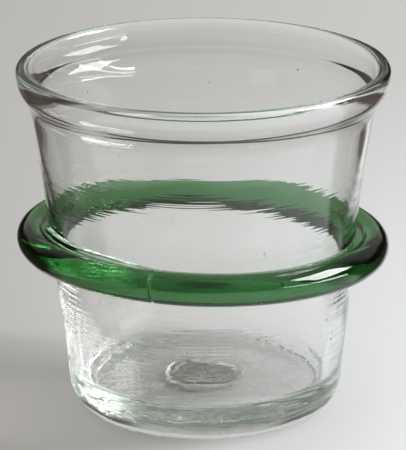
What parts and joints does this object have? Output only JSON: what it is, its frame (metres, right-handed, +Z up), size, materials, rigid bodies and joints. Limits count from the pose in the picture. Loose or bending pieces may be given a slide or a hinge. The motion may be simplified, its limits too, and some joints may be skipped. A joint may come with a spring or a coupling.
{
  "type": "glass tumbler",
  "caption": "Free-blown clear glass tumbler with flared fire-polished rim, thick base and an applied green glass ring round its middle.",
  "frame": {"origin": "centre of the base, on the table", "axes": "+Z up along the vessel's axis; -Y is the side that the picture shows, with the ring's seam left of its middle"},
  "size_m": [0.0966, 0.0966, 0.0923],
  "materials": {
    "clear_glass": "fire-polished",
    "green_glass": "fire-polished",
    "scar_glass": "broken"
  },
  "bodies": {
    "root": {"clear_bowl": "clear_glass", "green_ring": "green_glass", "pontil_scar": "scar_glass"}
  },
  "joints": []
}
